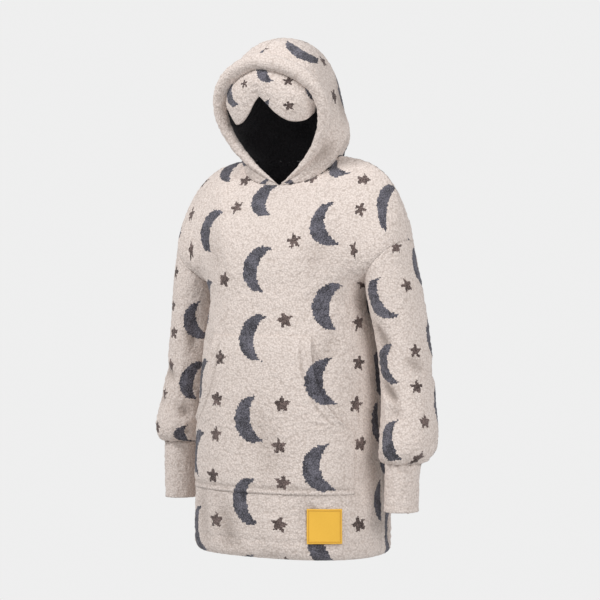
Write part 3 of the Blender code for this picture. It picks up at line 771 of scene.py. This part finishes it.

# %% [markdown]
# ## Pocket and label
# The pocket is one piece sewn on the front, open at both slanted sides for the hands. Its points are
# the front's own points moved out, so it hugs every bend of the body, and its flat places are the
# front's too, so the knitted pattern runs on across its edges. Shallow grooves with painted shade show
# where the bottom and the hems of the openings are stitched. The label is made on the front the same way.

# %% Points on the front
def on_front(distance, z):
    x, y, length = round_the_torso(np.abs(distance) / round_the_torso(1.0, z, -1)[2], z, -1)
    return x * np.sign(distance), y, z


print("half way round the front at the hem:", round(float(round_the_torso(1.0, TORSO_Z[0], -1)[2]), 3), "m")

# %% Outline of the pocket
POCKET_OPENING_Z = -0.600
POCKET_TOP_Z = -0.398
POCKET_BOTTOM_Z = -0.738
POCKET_HALF_WIDTH = 0.232
POCKET_TOP_HALF_WIDTH = 0.128
OPENING_BEND = 2.2
OPENING_ROUND = 1.6
POCKET_LOW_ROWS = 36
POCKET_HIGH_ROWS = 60
POCKET_COLUMNS = 111


def pocket_half_width(z):
    if z <= POCKET_OPENING_Z:
        return POCKET_HALF_WIDTH
    rise = (z - POCKET_OPENING_Z) / (POCKET_TOP_Z - POCKET_OPENING_Z)
    inward = (1 - (1 - rise) ** OPENING_BEND) ** (1 / OPENING_ROUND)
    return POCKET_HALF_WIDTH - (POCKET_HALF_WIDTH - POCKET_TOP_HALF_WIDTH) * inward


def pocket_grid():
    low = np.linspace(POCKET_BOTTOM_Z, POCKET_OPENING_Z, POCKET_LOW_ROWS)
    shares = np.linspace(0, 1, POCKET_HIGH_ROWS)[1:] ** OPENING_ROUND
    high = POCKET_OPENING_Z + (POCKET_TOP_Z - POCKET_OPENING_Z) * shares
    rows, flat = [], []
    for z in np.concatenate([low, high]):
        half = pocket_half_width(z)
        spots = np.linspace(-half, half, POCKET_COLUMNS)
        rows.append(stacked(*on_front(spots, z)))
        flat.append(np.stack([spots, np.full(spots.shape, z - TORSO_Z[0])], axis=-1))
    return np.array(rows), np.array(flat)


print("pocket half width", POCKET_HALF_WIDTH, "m below,", POCKET_TOP_HALF_WIDTH, "m at the top")

# %% How far the pocket stands off
POCKET_BASE = 0.0048
POCKET_LIFT = 0.004
LIFT_POWER = 6
OPENING_RISE = 0.02
OPENING_FALL = 0.03
POCKET_HEM = 0.024
POCKET_SEAM = 0.012
GROOVE_WIDTH = 0.0035
GROOVE_DEPTH = 0.0022
GROOVE_SHADE = 0.0030
SEWN_DOWN = 0.0030
EDGE_SHARE = 0.95

points, flat = pocket_grid()
normal = grid_normals(points)
heights = points[..., 2]
open_here = smooth_step((heights - POCKET_OPENING_Z) / OPENING_RISE)
open_here = open_here * smooth_step((POCKET_TOP_Z - heights) / OPENING_FALL)
side_share = np.abs(np.linspace(-1, 1, points.shape[1]))[None, :]
lift = POCKET_BASE + POCKET_LIFT * open_here * side_share**LIFT_POWER
fade = edge_fade(points.shape[:2], False)
half_widths = np.array([pocket_half_width(z) for z in heights[:, 0]])[:, None]
in_from_side = half_widths * (1 - side_share)
groove = np.exp(-(((heights - POCKET_BOTTOM_Z - POCKET_SEAM) / GROOVE_WIDTH) ** 2))
side_groove = np.exp(-(((in_from_side - POCKET_HEM) / GROOVE_WIDTH) ** 2))
groove = np.maximum(groove, open_here * side_groove)
sunk_and_shade = crease_depth(points) + GROOVE_DEPTH * groove
push = lift + pile(points) * fade - sunk_and_shade
# painted shade: the stitched grooves are darkened beyond their depth
sunk_and_shade += GROOVE_SHADE * groove
push -= SEWN_DOWN * (1 - fade) * (1 - open_here * (side_share > EDGE_SHARE))
print("pocket stands off up to", round(float(push.max()) * 1000, 1), "mm")

pocket = grid_mesh("pocket_cloth", points + normal * push[..., None], flat, sunk_and_shade=sunk_and_shade)
add_wall(pocket, CLOTH_WALL, inside=0)
stand_for(pocket, "pocket")
area = cloth_area(pocket)
print("pocket area", round(area, 3))

# %% The label
LABEL_CENTRE = (0.164, -0.805)
LABEL_SIZE = (0.076, 0.075)
LABEL_POINTS = 41
LABEL_LIFT = 0.0030
LABEL_WALL = 0.0012

across, high = LABEL_CENTRE
wide, tall = (size / 2 for size in LABEL_SIZE)
spots = np.linspace(across - wide, across + wide, LABEL_POINTS)
levels = np.linspace(high - tall, high + tall, LABEL_POINTS)
points = np.array([stacked(*on_front(spots, z)) for z in levels])
flat = np.array([[((s - across) / wide, (z - high) / tall) for s in spots] for z in levels])
normal = grid_normals(points)
push = LABEL_LIFT - crease_depth(points)
label = grid_mesh("label_cloth", points + normal * push[..., None], flat)
add_wall(label, LABEL_WALL, inside=0)
stand_for(label, "label")
print("label faces", len(label.data.polygons))


# %% [markdown]
# ## The knitted moons and stars
# A jacquard pattern is worked stitch by stitch, so its edges are stepped. The material does the
# same: it rounds the place on the flat cloth to whole stitches, and only then asks which motif the
# stitch is in. A little noise on the place lets the long yarn stray over the steps. The cloth is
# divided into cells with one moon and up to two stars each, and every other column of cells is
# dropped by half. Small random shifts and turns for each cell keep the eye from finding the grid.

# %% A short way to write node maths
class Maths:
    """Adds Math nodes to one material: m(operation, a, b) returns the result's socket."""

    def __init__(self, material):
        self.nodes = material.node_tree.nodes
        self.links = material.node_tree.links

    def __call__(self, operation, *values, clamp=False):
        node = self.nodes.new("ShaderNodeMath")
        node.operation = operation
        node.use_clamp = clamp
        for socket, value in zip(node.inputs, values):
            self.set(socket, value)
        return node.outputs[0]

    def set(self, socket, value):
        if isinstance(value, bpy.types.NodeSocket):
            self.links.new(value, socket)
        else:
            socket.default_value = value

    def new(self, kind, **values):
        node = self.nodes.new(kind)
        for name, value in values.items():
            self.set(node.inputs[name], value)
        return node


def new_material(name):
    material = bpy.data.materials.new(name)
    material.use_nodes = True
    return material, Maths(material), material.node_tree.nodes["Principled BSDF"]


def scaled(colour, share):
    return tuple(share * part for part in colour[:3]) + (1,)


def mixed(m, factor, first, second):
    node = m.nodes.new("ShaderNodeMix")
    node.data_type = "RGBA"
    m.set(node.inputs["Factor"], factor)
    m.set(node.inputs["A"], first)
    m.set(node.inputs["B"], second)
    return node.outputs["Result"]


def noise_at(m, scale, detail, roughness=0.5):
    place = m.nodes.new("ShaderNodeTexCoord")
    node = m.new("ShaderNodeTexNoise", Vector=place.outputs["Object"], Scale=scale, Detail=detail)
    node.inputs["Roughness"].default_value = roughness
    return node.outputs["Fac"]


print("helpers for materials: Maths, new_material, scaled, mixed, noise_at")


# %% Moon and star shapes
MOON_RADIUS = 0.0520
MOON_BITE = 0.0580
MOON_SHIFT = 0.0440
MOON_END = 0.0500
STAR_RADIUS = 0.0185
STAR_ARMS = 0.90
STAR_WIDER = 1.05
STAR_TURNS = 20.5  # fifths added to the angle, so that it is never negative


def turned(m, x, y, angle):
    cos, sin = m("COSINE", angle), m("SINE", angle)
    return (
        m("ADD", m("MULTIPLY", x, cos), m("MULTIPLY", y, sin)),
        m("SUBTRACT", m("MULTIPLY", y, cos), m("MULTIPLY", x, sin)),
    )


def length_of(m, x, y):
    return m("SQRT", m("ADD", m("MULTIPLY", x, x), m("MULTIPLY", y, y)))


def moon(m, x, y, tilt):
    """1 inside a crescent whose open side looks to +X before it is tilted."""
    x, y = turned(m, x, y, tilt)
    outer = length_of(m, x, y)
    bite = length_of(m, m("SUBTRACT", x, MOON_SHIFT), y)
    crescent = m("MULTIPLY", m("LESS_THAN", outer, MOON_RADIUS), m("GREATER_THAN", bite, MOON_BITE))
    return m("MULTIPLY", crescent, m("LESS_THAN", m("ABSOLUTE", y), MOON_END))


def star(m, x, y, tilt):
    """1 inside a five-pointed star, whose radius falls from each point to the notch beside it."""
    x = m("DIVIDE", x, STAR_WIDER)
    angle = m("ADD", m("ARCTAN2", x, y), tilt)
    fifth = 2 * math.pi / 5
    within = m("MODULO", m("ADD", angle, STAR_TURNS * fifth), fifth)
    off_point = m("ABSOLUTE", m("SUBTRACT", within, fifth / 2))
    reach = m("SUBTRACT", STAR_RADIUS, m("MULTIPLY", off_point, STAR_RADIUS * STAR_ARMS))
    return m("LESS_THAN", length_of(m, x, y), reach)


print("a moon is", round(2 * MOON_RADIUS, 3), "m tall, a star", round(2 * STAR_RADIUS, 3), "m")


# %% Cells and stitches
CELL = (0.170, 0.172)
STITCH = 0.0036
PATTERN_START = 20  # cells before the flat cloth's own zero, so that no number is negative


def stitched(m, value):
    """The middle of the stitch that a flat place is in."""
    return m("MULTIPLY", m("ADD", m("FLOOR", m("DIVIDE", value, STITCH)), 0.5), STITCH)


def motif_cells(m, across, up, seed):
    """Place inside the cell and three random numbers for the cell, from -0.5 to 0.5."""
    column = m("FLOOR", m("DIVIDE", across, CELL[0]))
    odd = m("ABSOLUTE", m("MODULO", column, 2.0))
    dropped = m("ADD", up, m("MULTIPLY", odd, CELL[1] / 2))
    row = m("FLOOR", m("DIVIDE", dropped, CELL[1]))
    x = m("SUBTRACT", across, m("MULTIPLY", m("ADD", column, 0.5), CELL[0]))
    y = m("SUBTRACT", dropped, m("MULTIPLY", m("ADD", row, 0.5), CELL[1]))
    white = m.nodes.new("ShaderNodeTexWhiteNoise")
    white.noise_dimensions = "3D"
    place = m.new("ShaderNodeCombineXYZ", X=column, Y=row, Z=seed)
    m.links.new(place.outputs[0], white.inputs["Vector"])
    split = m.new("ShaderNodeSeparateColor", Color=white.outputs["Color"])
    return x, y, [m("SUBTRACT", split.outputs[k], 0.5) for k in range(3)]


print("a cell is", CELL[0], "by", CELL[1], "m, a stitch", STITCH, "m")


# %% The pattern
STRAY = 0.0070
STRAY_SCALES = (170.0, 205.0)
MOON_BACK = 0.006
MOON_MOVES = (0.020, 0.026)
MOON_TURN = 0.65
# place in the cell, and the share of the cells that have this star
STARS = [(0.064, 0.044, 0.95), (0.058, -0.046, 0.45)]
STAR_MOVES = (0.016, 0.020)
STAR_TURN = 0.9


def pattern(m, seed, shift, tilt, size):
    """Sockets that are 1 in a moon and 1 in a star. A smaller size makes all motifs smaller."""
    uv = m.nodes.new("ShaderNodeUVMap")
    uv.uv_map = "cloth"
    split = m.new("ShaderNodeSeparateXYZ", Vector=uv.outputs[0])
    stray = [m("MULTIPLY", m("SUBTRACT", noise_at(m, scale, 1.0), 0.5), STRAY) for scale in STRAY_SCALES]
    flat = [m("ADD", m("DIVIDE", split.outputs[k], size), stray[k]) for k in (0, 1)]
    across, up = (stitched(m, m("ADD", flat[k], PATTERN_START * CELL[k] + shift[k])) for k in (0, 1))
    x, y, random = motif_cells(m, across, up, seed)
    moved_x = m("SUBTRACT", x, m("MULTIPLY", random[0], MOON_MOVES[0]))
    moved_y = m("SUBTRACT", y, m("MULTIPLY", random[1], MOON_MOVES[1]))
    turn = m("ADD", m("MULTIPLY", random[2], MOON_TURN), tilt)
    in_moon = moon(m, m("ADD", moved_x, MOON_BACK), moved_y, turn)
    in_star = None
    for star_x, star_y, part in STARS:
        spot_x = m("SUBTRACT", m("ADD", x, m("MULTIPLY", random[1], STAR_MOVES[0])), star_x)
        spot_y = m("SUBTRACT", m("ADD", y, m("MULTIPLY", random[2], STAR_MOVES[1])), star_y)
        one = star(m, spot_x, spot_y, m("MULTIPLY", random[0], STAR_TURN))
        one = m("MULTIPLY", one, m("LESS_THAN", m("ABSOLUTE", random[0]), part / 2))
        in_star = one if in_star is None else m("MAXIMUM", in_star, one)
    return in_moon, m("MULTIPLY", in_star, m("SUBTRACT", 1.0, in_moon))


print("stars to a cell, at most:", len(STARS))

# %% [markdown]
# The yarn itself is loose and hairy. Its cream is darkened by painted shade between the tufts, which
# a Voronoi texture stands for, and in the creases. The dark yarns have light flecks, painted highlights
# where the hairs of a long pile catch the light one by one. The same tufts drive the bump.

# %% The yarn
CREAM = (0.840, 0.750, 0.700, 1)
# the darker cream: painted shade in the hollows and creases, and also the dark end of the random mottle
CREAM_SHADE = (0.500, 0.420, 0.375, 1)
MOON_YARN = (0.085, 0.082, 0.098, 1)
STAR_YARN = (0.100, 0.074, 0.068, 1)
LINING = (0.085, 0.082, 0.090, 1)
TUFT_SCALE = 230.0
MOTTLE_SCALE = 38.0
GRAIN_SCALE = 420.0
GRAIN_SHARE = 0.6
HOLLOW_START = 0.42
HOLLOW_GAIN = 1.3
HOLLOW_SHADE = 0.75
MOTTLE_SHADE = 0.22
FOLD_SHADE = 0.45
FOLD_DEEP_SHADE = 0.50
FOLD_POWER = 1.5
FLECK_GAIN = 4.0
FLECK_START = 2.6
FLECK_LIGHT = 2.2
MOON_DARK = 0.45
STAR_DARK = 0.5
BUMP_DISTANCE = 0.0020


# painted highlights: a darkened copy of the yarn, turning into a lit copy where the hairs catch the light
def with_painted_glints(m, light, yarn, dark_share):
    return mixed(m, light, scaled(yarn, dark_share), scaled(yarn, FLECK_LIGHT))


def knit_material(name, seed=None, shift=(0, 0), tilt=0.0, size=1.0, ground=CREAM, shade=CREAM_SHADE):
    material, m, shader = new_material(name)
    loops = m.nodes.new("ShaderNodeTexVoronoi")
    place = m.nodes.new("ShaderNodeTexCoord")
    m.links.new(place.outputs["Object"], loops.inputs["Vector"])
    loops.inputs["Scale"].default_value = TUFT_SCALE
    tufts = loops.outputs["Distance"]
    mottle = noise_at(m, MOTTLE_SCALE, detail=3.0, roughness=0.6)
    grain = noise_at(m, GRAIN_SCALE, detail=2.0, roughness=0.7)
    rough_tufts = m("ADD", tufts, m("MULTIPLY", grain, GRAIN_SHARE))
    # painted shade: the hollows between the tufts
    hollow = m("MULTIPLY", m("SUBTRACT", rough_tufts, HOLLOW_START), HOLLOW_GAIN, clamp=True)
    # painted shade in the creases, read from how deep each vertex lies in them
    fold = m.nodes.new("ShaderNodeAttribute")
    fold.attribute_name = "fold"
    shadow = m("MAXIMUM", fold.outputs["Fac"], 0.0)
    # mix toward the darker cream: painted shade in hollows and creases, plus the mottle, a random tone of
    # the yarn
    painted_shade_and_mottle = m("ADD", m("MULTIPLY", hollow, HOLLOW_SHADE), m("MULTIPLY", mottle, MOTTLE_SHADE))
    colour = mixed(m, m("ADD", painted_shade_and_mottle, m("MULTIPLY", shadow, FOLD_SHADE), clamp=True), ground, shade)
    # painted shadow, deeper still, at the bottom of the creases
    painted_fold_shadow = m("MULTIPLY", m("POWER", shadow, FOLD_POWER), FOLD_DEEP_SHADE, clamp=True)
    colour = mixed(m, painted_fold_shadow, colour, scaled(shade, 0.5))
    if seed is not None:
        in_moon, in_star = pattern(m, float(seed), shift, tilt, size)
        # painted highlights on the dark yarns, where single hairs catch the light
        hairs = m("MULTIPLY", m("ADD", grain, m("MULTIPLY", mottle, 0.5)), FLECK_GAIN)
        light = m("SUBTRACT", hairs, FLECK_START, clamp=True)
        colour = mixed(m, in_moon, colour, with_painted_glints(m, light, MOON_YARN, MOON_DARK))
        colour = mixed(m, in_star, colour, with_painted_glints(m, light, STAR_YARN, STAR_DARK))
    m.links.new(colour, shader.inputs["Base Color"])
    shader.inputs["Roughness"].default_value = 1.0
    shader.inputs["Specular IOR Level"].default_value = 0.15
    shader.inputs["Sheen Weight"].default_value = 0.12
    shader.inputs["Sheen Roughness"].default_value = 0.6
    height = m("SUBTRACT", m("MULTIPLY", grain, 0.5), tufts)
    bump = m.new("ShaderNodeBump", Strength=0.7, Distance=BUMP_DISTANCE, Height=height)
    m.links.new(bump.outputs[0], shader.inputs["Normal"])
    return material


print("cream yarn:", CREAM[:3])


# %% Dress the pieces
FRONT_SHIFT = (0.076, 0.134)
BACK_SHIFT = (0.0, 0.03)
BODY_TILT = 0.05
SLEEVE_SHIFT = [(0.021, 0.032), (0.064, 0.080)]
SLEEVE_MOTIF_SIZE = 0.85
HOOD_SHIFT = [(-0.023, 0.026), (0.030, 0.005)]
HOOD_TILT = [0.95, -0.25]
MASK_SHIFT = (0.199, 0.041)
MASK_TILT = 0.1
MASK_MOTIF_SIZE = 0.60


def dress(obj, *materials):
    for material in materials:
        obj.data.materials.append(material)


lining = knit_material("charcoal_reverse", ground=LINING, shade=scaled(LINING, 0.6))
plain = knit_material("plain_cream_knit")
dress(front, knit_material("front_knit", 1, FRONT_SHIFT, BODY_TILT), lining)
dress(back, knit_material("back_knit", 2, BACK_SHIFT), lining)
for k, obj in enumerate(sleeves):
    knit = knit_material(f"sleeve_knit_{k}", 3 + k, SLEEVE_SHIFT[k], BODY_TILT, size=SLEEVE_MOTIF_SIZE)
    dress(obj, knit, lining)
for k, obj in enumerate(hoods):
    dress(obj, knit_material(f"hood_knit_{k}", 5 + k, HOOD_SHIFT[k], HOOD_TILT[k]), lining)
for obj in cuffs:
    dress(obj, plain, plain)
dress(roll, plain)
dress(mask, knit_material("mask_knit", 8, MASK_SHIFT, MASK_TILT, size=MASK_MOTIF_SIZE))
dress(pocket, knit_material("pocket_knit", 1, FRONT_SHIFT, BODY_TILT))
print("materials:", len(bpy.data.materials))


# %% [markdown]
# ## The label's cloth
# The label is a bright woven square with a darker stitched border. Its own flat places run from -1
# to 1, so the border is simply where the larger of the two is close to 1.

# %% Label material
AMBER = (0.80, 0.42, 0.035, 1)
AMBER_LIGHT = (0.92, 0.56, 0.075, 1)
BORDER_THREAD = (0.60, 0.27, 0.02, 1)
BORDER = (0.86, 0.93)
DASHES = 95.0
DASH_GAP = -0.2
WEAVE_SCALE = 900.0
STITCH_HEIGHT = 1.5
LABEL_BUMP = 0.0008


def label_material():
    material, m, shader = new_material("amber_label")
    uv = m.nodes.new("ShaderNodeUVMap")
    uv.uv_map = "cloth"
    split = m.new("ShaderNodeSeparateXYZ", Vector=uv.outputs[0])
    x, y = (m("ABSOLUTE", split.outputs[k]) for k in (0, 1))
    edge = m("MAXIMUM", x, y)
    in_border = m("MULTIPLY", m("GREATER_THAN", edge, BORDER[0]), m("LESS_THAN", edge, BORDER[1]))
    dash = m("GREATER_THAN", m("SINE", m("MULTIPLY", m("ADD", x, y), DASHES)), DASH_GAP)
    stitch = m("MULTIPLY", in_border, dash)
    weave = noise_at(m, WEAVE_SCALE, detail=2.0, roughness=0.6)
    ground = mixed(m, weave, AMBER, AMBER_LIGHT)
    m.links.new(mixed(m, stitch, ground, BORDER_THREAD), shader.inputs["Base Color"])
    shader.inputs["Roughness"].default_value = 0.75
    height = m("ADD", weave, m("MULTIPLY", stitch, STITCH_HEIGHT))
    bump = m.new("ShaderNodeBump", Strength=0.5, Distance=LABEL_BUMP, Height=height)
    m.links.new(bump.outputs[0], shader.inputs["Normal"])
    return material


dress(label, label_material())
print("label dressed in", label.data.materials[0].name)

# %% [markdown]
# ## Floor, light and camera
# The top hangs over a pale floor in a pale room, as in a catalogue. The floor ends before the level
# camera would see it. The room gives even light, but less than its own colour suggests, so that a
# key light from the left of the picture can draw the creases, and a weaker one fills in from the
# right. The camera stands level, turned thirty degrees to the wearer's left, and far away with a
# long lens so that the sleeves aren't stretched.

# %% Floor
FLOOR_HALF_SIZE = 2.4
FLOOR_Z = -1.6
FLOOR_COLOUR = (0.85, 0.85, 0.85, 1)

bm = bmesh.new()
bmesh.ops.create_grid(bm, x_segments=1, y_segments=1, size=FLOOR_HALF_SIZE)
bmesh.ops.translate(bm, verts=bm.verts[:], vec=(0, 0, FLOOR_Z))
mesh = bpy.data.meshes.new("floor")
bm.to_mesh(mesh)
bm.free()
floor = bpy.data.objects.new("floor", mesh)
bpy.context.scene.collection.objects.link(floor)
material, _, shader = new_material("pale_floor")
shader.inputs["Base Color"].default_value = FLOOR_COLOUR
shader.inputs["Roughness"].default_value = 1.0
dress(floor, material)
print("floor at", FLOOR_Z, "m")

# %% Room
ROOM_COLOUR = (0.86, 0.86, 0.86, 1)
ROOM_LIGHT = 0.50

world = bpy.data.worlds.new("studio")
bpy.context.scene.world = world
world.use_nodes = True
nodes, links = world.node_tree.nodes, world.node_tree.links
room = nodes["Background"]
room.inputs["Color"].default_value = ROOM_COLOUR
room.inputs["Strength"].default_value = ROOM_LIGHT
seen = nodes.new("ShaderNodeBackground")
seen.inputs["Color"].default_value = ROOM_COLOUR
light_path = nodes.new("ShaderNodeLightPath")
either = nodes.new("ShaderNodeMixShader")
links.new(light_path.outputs["Is Camera Ray"], either.inputs[0])
links.new(room.outputs[0], either.inputs[1])
links.new(seen.outputs[0], either.inputs[2])
links.new(either.outputs[0], nodes["World Output"].inputs[0])
print("room light:", ROOM_LIGHT)


# %% Lights
LIGHTS_AIM = (0, 0, -0.35)
# name, place, size, watts
LIGHTS = [("key", (-1.2, -2.4, 2.2), 1.1, 86.0), ("fill", (2.8, -1.2, 0.9), 1.6, 46.0)]


def add_area_light(name, place, size, watts):
    light = bpy.data.lights.new(name, "AREA")
    light.shape = "DISK"
    light.size = size
    light.energy = watts
    obj = bpy.data.objects.new(name, light)
    obj.location = place
    obj.rotation_euler = (Vector(LIGHTS_AIM) - Vector(place)).to_track_quat("-Z", "Y").to_euler()
    bpy.context.scene.collection.objects.link(obj)


for row in LIGHTS:
    add_area_light(*row)
print("lights:", [row[0] for row in LIGHTS])

# %% Camera
CAMERA_AZIMUTH = math.radians(30)
CAMERA_DISTANCE = 4.0
AIM = Vector((0.0139, 0.0080, -0.32))
SENSOR = 36.0
PICTURE_WIDTH = 1.35

camera = bpy.data.objects.new("camera", bpy.data.cameras.new("camera"))
camera.data.sensor_width = SENSOR
camera.data.lens = SENSOR * CAMERA_DISTANCE / PICTURE_WIDTH
direction = Vector((math.sin(CAMERA_AZIMUTH), -math.cos(CAMERA_AZIMUTH), 0))
camera.location = AIM + direction * CAMERA_DISTANCE
camera.rotation_euler = (AIM - camera.location).to_track_quat("-Z", "Y").to_euler()
bpy.context.scene.collection.objects.link(camera)
bpy.context.scene.camera = camera
bpy.context.scene.view_settings.view_transform = "Standard"
print("camera", [round(c, 3) for c in camera.location])
